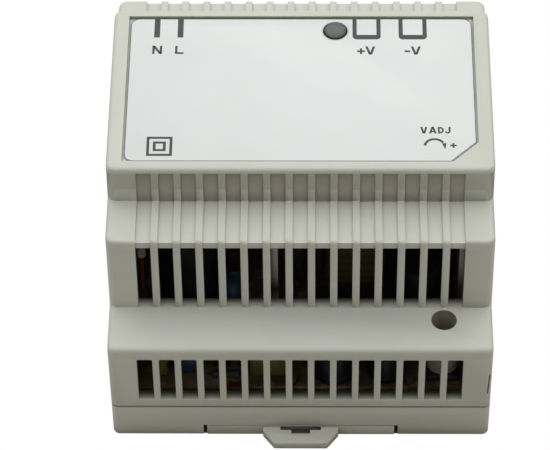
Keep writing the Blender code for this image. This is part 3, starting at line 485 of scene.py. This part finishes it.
def make_finishes():
    """One finish for each material slot of the record."""
    return {
        "housing_grey": housing_plastic(),
        "label_white": label_film(),
        "circuit_board": circuit_board(),
        "terminal_moulding": moulded("terminal_moulding", (0.035, 0.037, 0.036), 0.45, 0.2, 0.012, 0.15),
        "zinc_steel": metal("zinc_steel", (0.60, 0.61, 0.62), 0.30, (4000.0, 4000.0, 4000.0)),
        "tinned_brass": metal("tinned_brass", (0.66, 0.63, 0.56), 0.32),
        "aluminium": metal("aluminium", (0.36, 0.355, 0.33), 0.5, (9000.0, 400.0, 9000.0)),
        "copper": metal("copper", (0.58, 0.22, 0.08), 0.28, (2000.0, 2000.0, 2000.0)),
        "ferrite": moulded("ferrite", (0.045, 0.045, 0.05), 0.55, 0.15, 0.02, 0.2),
        "ring_yellow": dipped("ring_yellow", (0.62, 0.50, 0.08)),
        "phenolic": moulded("phenolic", (0.03, 0.028, 0.025), 0.45, 0.3, 0.01, 0.15),
        "winding_tape": tape(),
        "ceramic": fuse_ceramic(),
        "film_yellow": moulded("film_yellow", (0.17, 0.15, 0.035), 0.4, 0.3, 0.01, 0.08),
        "dipped_blue": dipped("dipped_blue", (0.010, 0.050, 0.095)),
        "dipped_green": dipped("dipped_green", (0.03, 0.12, 0.07)),
        "sleeve_black": sleeve("sleeve_black", (0.008, 0.008, 0.009)),
        "sleeve_blue": sleeve("sleeve_blue", (0.005, 0.011, 0.016)),
        "package_black": moulded("package_black", (0.022, 0.022, 0.023), 0.5, 0.2, 0.015, 0.2),
        "trimmer_dark": moulded("trimmer_dark", (0.012, 0.016, 0.024), 0.5, 0.3, 0.008, 0.08),
        "rotor_grey": moulded("rotor_grey", (0.30, 0.30, 0.22), 0.5, 0.3, 0.008, 0.05),
        "lens": smoked_lens(),
        "led": dipped("led", (0.16, 0.42, 0.16)),
    }


def dress_nodes(finishes):
    """Give every CAD node its finish, and soften its edges as moulding or machining would."""
    slots = {entry["node"]: entry["material_slot"] for entry in frame["record"]["subparts"]}
    softness = {"front_cover": 0.20, "base_housing": 0.18, "rail_latch": 0.14, "front_label": 0.03}
    for name, node in nodes.items():
        node.data.materials.clear()
        node.data.materials.append(finishes[slots[name]])
        soften(node, softness.get(name, 0.08))


def soften(obj, width):
    """Merge the facets of each flat, then round the sharp edges by width millimetres."""
    weld = obj.modifiers.new("weld", "WELD")
    weld.merge_threshold = 0.00001
    flats = obj.modifiers.new("flats", "DECIMATE")
    flats.decimate_type = "DISSOLVE"
    flats.angle_limit = math.radians(0.6)
    bevel = obj.modifiers.new("soft_edges", "BEVEL")
    bevel.width = width * MM
    bevel.segments = 2
    bevel.limit_method = "ANGLE"
    bevel.angle_limit = math.radians(40)
    bevel.use_clamp_overlap = True
    bevel.harden_normals = True
    for polygon in obj.data.polygons:
        polygon.use_smooth = True


# Label print


def new_piece(name, bm, material, body):
    """Mesh object from a bmesh in millimetres that rides on a body."""
    bmesh.ops.transform(bm, matrix=Matrix.Scale(MM, 4), verts=bm.verts)
    mesh = bpy.data.meshes.new(name)
    bm.to_mesh(mesh)
    bm.free()
    obj = bpy.data.objects.new(name, mesh)
    bpy.context.scene.collection.objects.link(obj)
    mesh.materials.append(material)
    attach(obj, body)
    return obj


def add_curve_shape(bm, curve, place):
    """Add a filled 2D curve, placed by a matrix, to a bmesh."""
    holder = bpy.data.objects.new("shape", curve)
    bpy.context.scene.collection.objects.link(holder)
    evaluated = holder.evaluated_get(bpy.context.evaluated_depsgraph_get())
    mesh = bpy.data.meshes.new_from_object(evaluated)
    mesh.transform(place)
    bm.from_mesh(mesh)
    bpy.data.meshes.remove(mesh)
    bpy.data.objects.remove(holder, do_unlink=True)


def add_outline(bm, loops, height, z):
    """Add a filled outline (with holes) of the given height, standing on z."""
    curve = bpy.data.curves.new("outline", "CURVE")
    curve.dimensions = "2D"
    curve.fill_mode = "BOTH"
    curve.extrude = height / 2
    for loop in loops:
        spline = curve.splines.new("POLY")
        spline.points.add(len(loop) - 1)
        for point, (x, y) in zip(spline.points, loop):
            point.co = (x, y, 0.0, 1.0)
        spline.use_cyclic_u = True
    add_curve_shape(bm, curve, Matrix.Translation((0, 0, z + height / 2)))


def rectangle(x0, y0, x1, y1):
    return [(x0, y0), (x1, y0), (x1, y1), (x0, y1)]


def arc(centre, radius, start, end, steps=8):
    """Points along an arc, with angles in degrees."""
    angles = [math.radians(start + (end - start) * i / steps) for i in range(steps + 1)]
    return [(centre[0] + radius * math.cos(a), centre[1] + radius * math.sin(a)) for a in angles]


def slanted(foot, head, width):
    """Outline of a slanted stroke with level ends, of a given width measured across."""
    half = width / 2
    return [
        (foot[0] - half, foot[1]),
        (foot[0] + half, foot[1]),
        (head[0] + half, head[1]),
        (head[0] - half, head[1]),
    ]


def letter(kind, left, right, foot, head, ink):
    """Outlines of one bold letter or sign that fills the box from (left, foot) to (right, head)."""
    middle = (left + right) / 2
    level = (foot + head) / 2
    half = ink / 2
    if kind == "N":
        return [
            rectangle(left, foot, left + ink, head),
            rectangle(right - ink, foot, right, head),
            slanted((right - ink * 0.6, foot), (left + ink * 0.6, head), ink * 1.2),
        ]
    if kind == "L":
        return [rectangle(left, foot, left + ink, head), rectangle(left + ink, foot, right, foot + ink)]
    if kind == "V":
        return [
            slanted((middle - half * 0.3, foot), (left + half, head), ink * 1.05),
            slanted((middle + half * 0.3, foot), (right - half, head), ink * 1.05),
        ]
    if kind == "A":
        return [
            slanted((left + half, foot), (middle - half * 0.3, head), ink * 1.05),
            slanted((right - half, foot), (middle + half * 0.3, head), ink * 1.05),
            rectangle(left + ink, foot + ink, right - ink, foot + ink * 1.8),
        ]
    if kind == "D":
        radius = (head - foot) / 2
        bow = right - left - ink
        outer = [(left + bow * 0.35, foot)]
        outer += [(left + ink + x * bow, level + y * radius) for x, y in arc((0, 0), 1.0, -75, 75)]
        outer += [(left + bow * 0.35, head)]
        inner_reach = bow - ink
        inner = [
            (left + ink + x * inner_reach, level + y * (radius - ink))
            for x, y in arc((0, 0), 1.0, -80, 80)
        ]
        return [rectangle(left, foot, left + ink, head), outer + inner[::-1]]
    if kind == "J":
        bow = (right - left) / 2
        hook = arc((middle, foot + bow), bow, 180, 360) + arc((middle, foot + bow), bow - ink, 360, 180)
        return [rectangle(right - ink, foot + bow, right, head), hook]
    signs = [rectangle(left, level - half, right, level + half)]
    if kind == "+":
        signs.append(rectangle(middle - half, foot, middle + half, level - half))
        signs.append(rectangle(middle - half, level + half, middle + half, head))
    return signs


def load_frame(x, top):
    """Outline of a U-shaped frame that joins two output terminals, with rounded lower corners."""
    outer, inner = LOAD_FRAME
    corner = LOAD_FRAME_CORNER
    foot = LINE_FOOT - LOAD_FRAME_DROP
    bar_top = foot + LOAD_FRAME_BAR
    loop = [(x - outer, top)]
    loop += arc((x - outer + corner, foot + corner), corner, 180, 270)
    loop += arc((x + outer - corner, foot + corner), corner, 270, 360)
    loop += [(x + outer, top), (x + inner, top), (x + inner, bar_top)]
    return loop + [(x - inner, bar_top), (x - inner, top)]


def label_outline(inset):
    """Outline of the label, moved inward."""
    low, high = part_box("front_label")
    x0, y0 = low.x / MM + inset, low.y / MM + inset
    x1, y1 = high.x / MM - inset, high.y / MM - inset
    corner = LABEL_CORNER - inset
    cut = LABEL_CUT - inset * (2 - math.sqrt(2))
    loop = arc((x0 + corner, y0 + corner), corner, 180, 270)
    loop += [(x1 - cut, y0), (x1, y0 + cut)]
    loop += arc((x1 - corner, y1 - corner), corner, 0, 90)
    return loop + arc((x0 + corner, y1 - corner), corner, 90, 180)


def square_frame(inset):
    """Outer and inner outline of one frame of the double-square mark."""
    x0, y0 = MARK_LOW[0] + inset, MARK_LOW[1] + inset
    x1, y1 = MARK_HIGH[0] - inset, MARK_HIGH[1] - inset
    return [
        rectangle(x0, y0, x1, y1),
        rectangle(x0 + MARK_LINE, y0 + MARK_LINE, x1 - MARK_LINE, y1 - MARK_LINE),
    ]


def label_print(finish):
    """Border, terminal guide lines and names, the adjuster's arrow and a double-square mark."""
    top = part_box("front_label")[1].y / MM - BORDER[1]
    outlines = [[label_outline(inset) for inset in BORDER]]
    for x in SUPPLY_LINES_AT:
        outlines.append([rectangle(x - SUPPLY_LINE_HALF, LINE_FOOT, x + SUPPLY_LINE_HALF, top)])
    outlines += [[load_frame(x, top)] for x in LOAD_FRAMES_AT]
    for entry in LETTERS:
        outlines += [[loop] for loop in letter(*entry)]
    bow = arc(ARROW_AT, ARROW_RADIUS + ARROW_HALF, 172, 32)
    outlines.append([bow + arc(ARROW_AT, ARROW_RADIUS - ARROW_HALF, 32, 172)])
    outlines.append([ARROW_HEAD])
    outlines += [square_frame(inset) for inset in MARK_INSETS]
    bm = bmesh.new()
    for loops in outlines:
        add_outline(bm, loops, INK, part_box("front_label")[1].z / MM)
    new_piece("label_print", bm, finish, "housing")


def label_backing(finish):
    """White adhesive sheet under the label, square at the corners that the label rounds off."""
    low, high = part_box("front_label")
    x0, y0, x1, y1 = low.x / MM, low.y / MM, high.x / MM, high.y / MM
    loop = [(x0, y0), (x1 - LABEL_CUT, y0), (x1, y0 + LABEL_CUT), (x1, y1), (x0, y1)]
    opening = arc(INDICATOR_AT, BACKING_HOLE, 0, 345, 23)
    thickness, drop = BACKING
    bm = bmesh.new()
    add_outline(bm, [loop, opening], thickness, low.z / MM - drop)
    new_piece("label_backing", bm, finish, "housing")


def indicator_rim(finish):
    """Thin light ring around the indicator's lens, with a dark gap between them."""
    bm = bmesh.new()
    ring = [arc(INDICATOR_AT, radius, 0, 350, 35) for radius in RING]
    add_outline(bm, ring, RING_DEPTH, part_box("front_label")[1].z / MM - RING_DEPTH)
    new_piece("indicator_rim", bm, finish, "housing")


# Small parts on the board


def turned(bm, profile, centre):
    """Add a closed round body along X, from (x, radius) points between two end points on its axis."""
    ring = [bm.verts.new((centre[0] + x, centre[1], centre[2] + radius)) for x, radius in profile]
    edges = [bm.edges.new(pair) for pair in zip(ring, ring[1:])]
    bmesh.ops.spin(
        bm, geom=ring + edges, cent=centre, axis=(1, 0, 0), angle=math.tau, steps=16, use_merge=True
    )
    bmesh.ops.remove_doubles(bm, verts=bm.verts, dist=0.001)
    bmesh.ops.recalc_face_normals(bm, faces=bm.faces)


def board_resistor(name, centre, half, finish):
    """Axial resistor lying on the board, with fuller ends and a stub of lead on each."""
    profile = [
        (-half - 1.0, 0.0),
        (-half - 1.0, 0.25),
        (-half, 0.25),
        (-half, 0.7),
        (-half + 0.3, 0.95),
        (-half + 1.0, 0.95),
        (-half + 1.3, 0.8),
        (half - 1.3, 0.8),
        (half - 1.0, 0.95),
        (half - 0.3, 0.95),
        (half, 0.7),
        (half, 0.25),
        (half + 1.0, 0.25),
        (half + 1.0, 0.0),
    ]
    bm = bmesh.new()
    turned(bm, profile, centre)
    obj = new_piece(name, bm, finish, "housing")
    for polygon in obj.data.polygons:
        polygon.use_smooth = True


def surface_part(name, corners, board_top, finish):
    """Small surface-mount part on the board: a block with a thicker cap at each end."""
    bm = bmesh.new()
    low, high = ((x, y, board_top + z) for x, y, z in corners)
    cap = (high[0] - low[0]) * 0.2
    blocks = ((low, (low[0] + cap, high[1], high[2])), ((high[0] - cap, low[1], low[2]), high))
    blocks += (((low[0] + cap, low[1] + 0.05, low[2]), (high[0] - cap, high[1] - 0.05, high[2] - 0.05)),)
    for start, end in blocks:
        size = Vector(end) - Vector(start)
        place = Matrix.Translation((Vector(start) + Vector(end)) / 2) @ Matrix.Diagonal((*size, 1.0))
        bmesh.ops.create_cube(bm, size=1.0, matrix=place)
    new_piece(name, bm, finish, "housing")


def board_parts():
    """Low parts along the board's edge that show through the lower slots."""
    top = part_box("main_pcb")[1].z / MM
    dim = moulded("resistor_coat", (0.06, 0.062, 0.06), 0.5, 0.3, 0.006, 0.08)
    board_resistor("board_resistor", (*RESISTOR_AT, top + RESISTOR_AXIS), RESISTOR_HALF, dim)
    red = moulded("red_epoxy", (0.10, 0.014, 0.012), 0.4, 0.2, 0.008, 0.1)
    surface_part("board_capacitor", CAPACITOR_BOX, top, red)
    brown = moulded("brown_epoxy", (0.10, 0.035, 0.015), 0.4, 0.2, 0.008, 0.1)
    surface_part("board_diode", DIODE_BOX, top, brown)


# Stage


def flat_sheet(name, loop, z, material):
    """Single flat face on the stage, at a height in metres."""
    mesh = bpy.data.meshes.new(name)
    mesh.from_pydata([(x * MM, y * MM, z) for x, y in loop], [], [tuple(range(len(loop)))])
    mesh.materials.append(material)
    sheet = bpy.data.objects.new(name, mesh)
    bpy.context.scene.collection.objects.link(sheet)


def studio_floor():
    """Pale floor that reads white to the camera and gives the object little light back."""
    material = bpy.data.materials.new("pale_floor")
    material.use_nodes = True
    tree = material.node_tree
    surface = tree.nodes["Principled BSDF"]
    surface.inputs["Base Color"].default_value = (0.54, 0.53, 0.49, 1.0)
    surface.inputs["Roughness"].default_value = 0.9
    white = tree.nodes.new("ShaderNodeEmission")
    seen = tree.nodes.new("ShaderNodeLightPath")
    blend = tree.nodes.new("ShaderNodeMixShader")
    tree.links.new(seen.outputs["Is Camera Ray"], blend.inputs["Fac"])
    tree.links.new(surface.outputs["BSDF"], blend.inputs[1])
    tree.links.new(white.outputs["Emission"], blend.inputs[2])
    tree.links.new(blend.outputs["Shader"], tree.nodes["Material Output"].inputs["Surface"])
    loop = rectangle(-FLOOR_HALF, -FLOOR_HALF, FLOOR_HALF, FLOOR_HALF)
    flat_sheet("floor", loop, cad_low.z - FLOOR_DROP * MM, material)


def contact_shade():
    """Dark patch where the object meets the floor, so the slots that open onto it look closed."""
    material = bpy.data.materials.new("contact_shade")
    material.use_nodes = True
    surface = material.node_tree.nodes["Principled BSDF"]
    surface.inputs["Base Color"].default_value = (0.20, 0.185, 0.155, 1.0)
    surface.inputs["Roughness"].default_value = 1.0
    side, end = PATCH_SIDE, PATCH_END
    inner_side, inner_end = side - PATCH_CORNER, end - PATCH_CORNER
    loop = [(-side, -inner_end), (-inner_side, -end), (-PATCH_TAB, -end), (-PATCH_TAB, -PATCH_TAB_END)]
    loop += [(PATCH_TAB, -PATCH_TAB_END), (PATCH_TAB, -end), (inner_side, -end), (side, -inner_end)]
    loop += [(side, inner_end), (inner_side, end), (-inner_side, end), (-side, inner_end)]
    flat_sheet("contact_shade", loop, cad_low.z - PATCH_DROP * MM, material)


def studio_light():
    """Soft dome that leans to the terminal end and fades to a warm horizon, white to the camera."""
    world = bpy.data.worlds.new("studio")
    bpy.context.scene.world = world
    world.use_nodes = True
    tree = world.node_tree
    background = tree.nodes["Background"]
    direction = tree.nodes.new("ShaderNodeTexCoord").outputs["Generated"]
    lean = math.radians(DOME_LEAN)
    toward = tree.nodes.new("ShaderNodeVectorMath")
    toward.operation = "DOT_PRODUCT"
    toward.inputs[1].default_value = (0.0, math.sin(lean), math.cos(lean))
    tree.links.new(direction, toward.inputs[0])
    above = tree.nodes.new("ShaderNodeMath")
    above.operation = "MAXIMUM"
    above.inputs[1].default_value = 0.0
    tree.links.new(toward.outputs["Value"], above.inputs[0])
    fall = tree.nodes.new("ShaderNodeMath")
    fall.operation = "POWER"
    fall.inputs[1].default_value = DOME_FALL
    tree.links.new(above.outputs[0], fall.inputs[0])
    glow = tree.nodes.new("ShaderNodeMath")
    glow.operation = "MULTIPLY_ADD"
    glow.inputs[1].default_value, glow.inputs[2].default_value = DOME_GLOW
    tree.links.new(fall.outputs[0], glow.inputs[0])
    tree.links.new(glow.outputs[0], background.inputs["Strength"])
    tint = tree.nodes.new("ShaderNodeValToRGB")
    for element, (position, colour) in zip(tint.color_ramp.elements, DOME_TINT):
        element.color = colour
        element.position = position
    tree.links.new(toward.outputs["Value"], tint.inputs["Fac"])
    tree.links.new(tint.outputs["Color"], background.inputs["Color"])
    plain = tree.nodes.new("ShaderNodeBackground")
    plain.inputs["Color"].default_value = (1.0, 1.0, 1.0, 1.0)
    seen = tree.nodes.new("ShaderNodeLightPath")
    blend = tree.nodes.new("ShaderNodeMixShader")
    tree.links.new(seen.outputs["Is Camera Ray"], blend.inputs["Fac"])
    tree.links.new(background.outputs["Background"], blend.inputs[1])
    tree.links.new(plain.outputs["Background"], blend.inputs[2])
    tree.links.new(blend.outputs["Shader"], tree.nodes["World Output"].inputs["Surface"])


def studio_camera():
    """Long lens from above the latch end, at the reference view's angle."""
    data = bpy.data.cameras.new("camera")
    data.sensor_width = CAMERA_SENSOR
    data.lens = CAMERA_LENS
    camera = bpy.data.objects.new("camera", data)
    bpy.context.scene.collection.objects.link(camera)
    camera.location = CAMERA_AT
    turn = Matrix.Rotation(math.radians(CAMERA_AZIMUTH), 3, "Z")
    turn = turn @ Matrix.Rotation(math.radians(90.0 - CAMERA_ELEVATION), 3, "X")
    camera.rotation_euler = (turn @ Matrix.Rotation(math.radians(CAMERA_ROLL), 3, "Z")).to_euler()
    data.clip_start = 0.01
    bpy.context.scene.camera = camera
    bpy.context.scene.view_settings.view_transform = "Standard"


finishes = make_finishes()
dress_nodes(finishes)
label_print(printed_ink())
label_backing(finishes["label_white"])
indicator_rim(finishes["housing_grey"])
board_parts()
studio_floor()
contact_shade()
studio_light()
studio_camera()
